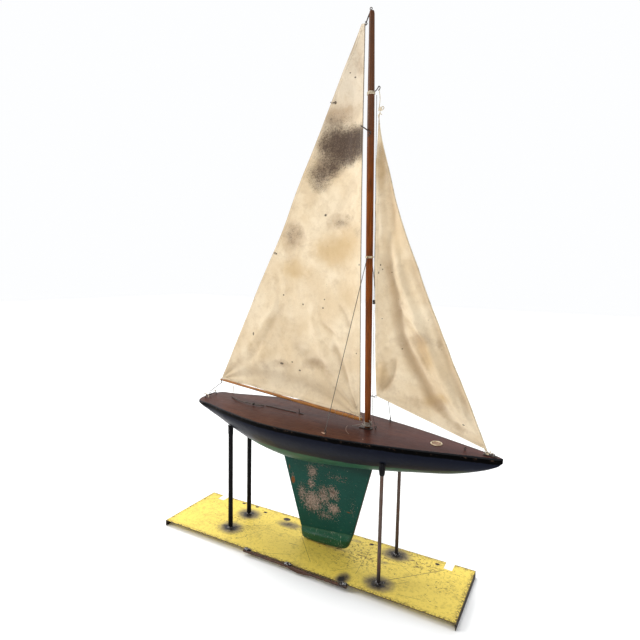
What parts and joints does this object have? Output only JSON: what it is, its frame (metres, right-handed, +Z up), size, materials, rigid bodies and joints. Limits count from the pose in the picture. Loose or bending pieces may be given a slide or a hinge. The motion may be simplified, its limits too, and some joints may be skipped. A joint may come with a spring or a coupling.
{
  "type": "rc sailboat",
  "caption": "Wooden free-sailing pond yacht with fin keel, mainsail and jib, lifted off a welded four-post display stand.",
  "frame": {"origin": "centre of the floor rectangle under the whole object, at floor height", "axes": "+X towards the bow, +Y to port, +Z up"},
  "size_m": [0.8124, 0.2054, 1.1925],
  "materials": {
    "yellow_paint": "worn satin yellow paint over steel, scratched and scorched at the welds",
    "rusty_steel": "rough weld scale and brown rust",
    "rod_steel": "dull brown-grey bare rod",
    "black_rubber": "black rubber, slightly shiny where rubbed",
    "hull_paint": "carved wood in aged gloss navy-black enamel, green below the waterline",
    "deck_varnish": "reddish-brown gloss varnish with fine scratches",
    "keel_paint": "deep green enamel, rubbed through to primer and rust",
    "ballast_paint": "dark glossy green enamel on lead",
    "mast_varnish": "warm brown varnish with long grain",
    "boom_varnish": "orange-brown varnish, worn thin",
    "dark_iron": "dark tarnished wire and plate",
    "old_brass": "dull aged brass",
    "canvas": "cream aged cotton with mould stains",
    "cream_cord": "twisted cotton cord",
    "dark_cord": "dark waxed cord",
    "bowsie_black": "black turned bead",
    "raw_pine": "bare pine"
  },
  "bodies": {
    "stand": {"stand_plate": "yellow_paint", "stand_edge_bar": "rusty_steel", "bar_weld_aft": "rusty_steel", "bar_weld_middle": "rusty_steel", "bar_weld_fore": "rusty_steel", "post_stern_starboard": "rod_steel", "post_stern_port": "rod_steel", "post_bow_starboard": "rod_steel", "post_bow_port": "rod_steel", "post_weld_stern_starboard": "rusty_steel", "post_weld_stern_port": "rusty_steel", "post_weld_bow_starboard": "rusty_steel", "post_weld_bow_port": "rusty_steel", "post_cap_stern_starboard": "black_rubber", "post_cap_stern_port": "black_rubber", "post_cap_bow_starboard": "black_rubber", "post_cap_bow_port": "black_rubber", "post_sleeve_stern_starboard": "black_rubber", "post_sleeve_stern_port": "black_rubber"},
    "yacht": {"hull_shell": "hull_paint", "deck": "deck_varnish", "keel_fin": "keel_paint", "keel_ballast": "ballast_paint", "keel_screw_aft": "dark_iron", "keel_screw_fore": "dark_iron", "mast_step_block": "raw_pine", "deck_beam_aft": "raw_pine", "deck_beam_fore": "raw_pine", "plug_ferrule": "old_brass", "foredeck_eye": "dark_iron", "bow_fitting": "dark_iron", "starboard_shroud_eye": "dark_iron", "port_shroud_eye": "dark_iron", "sheet_horse": "dark_iron", "steering_wire": "dark_iron", "deck_pin": "dark_iron", "centring_line": "dark_cord", "mast": "mast_varnish", "mast_foot_plate": "dark_iron", "mast_foot_eye": "dark_iron", "mast_head_eye": "dark_iron", "halyard_hook": "dark_iron", "clew_hook": "dark_iron", "luff_pin": "dark_iron", "shroud_band": "old_brass", "starboard_shroud": "dark_cord", "port_shroud": "dark_cord", "jib_halyard": "cream_cord", "halyard_fall": "dark_cord", "jib": "canvas", "main_sheet": "dark_cord", "boom_guy": "cream_cord"},
    "boom": {"boom": "boom_varnish", "gooseneck_pin": "dark_iron", "boom_end_eye": "dark_iron", "mainsail": "canvas"},
    "halyard_bowsie": {"halyard_bowsie": "bowsie_black"},
    "drain_plug": {"drain_plug": "deck_varnish"},
    "horse_ring": {"horse_ring": "dark_iron"},
    "steering_bead": {"steering_bead": "dark_iron"}
  },
  "joints": [
    {"name": "lift_off", "type": "slide", "parent": "stand", "child": "yacht", "axis": [0, 0, 1], "range_m": [0, 0.28]},
    {"name": "boom_swing", "type": "hinge", "parent": "yacht", "child": "boom", "pos_m": [0.11182, -0.00409, 0.3462], "axis": [0.0191, -0.053, 0.9984], "range_deg": [-30, 28]},
    {"name": "bowsie_slide", "type": "slide", "parent": "yacht", "child": "halyard_bowsie", "axis": [0.0024, -0.0524, 0.9986], "range_m": [-0.15, 0.2]},
    {"name": "drain_plug_pull", "type": "slide", "parent": "yacht", "child": "drain_plug", "axis": [0.0191, -0.053, 0.9984], "range_m": [0, 0.03]},
    {"name": "horse_ring_slide", "type": "slide", "parent": "yacht", "child": "horse_ring", "axis": [0.0359, 0.998, 0.0523], "range_m": [-0.009, 0.012]},
    {"name": "bead_slide", "type": "slide", "parent": "yacht", "child": "steering_bead", "axis": [0.9999, -0.0157, -0.0057], "range_m": [-0.005, 0.005]}
  ]
}
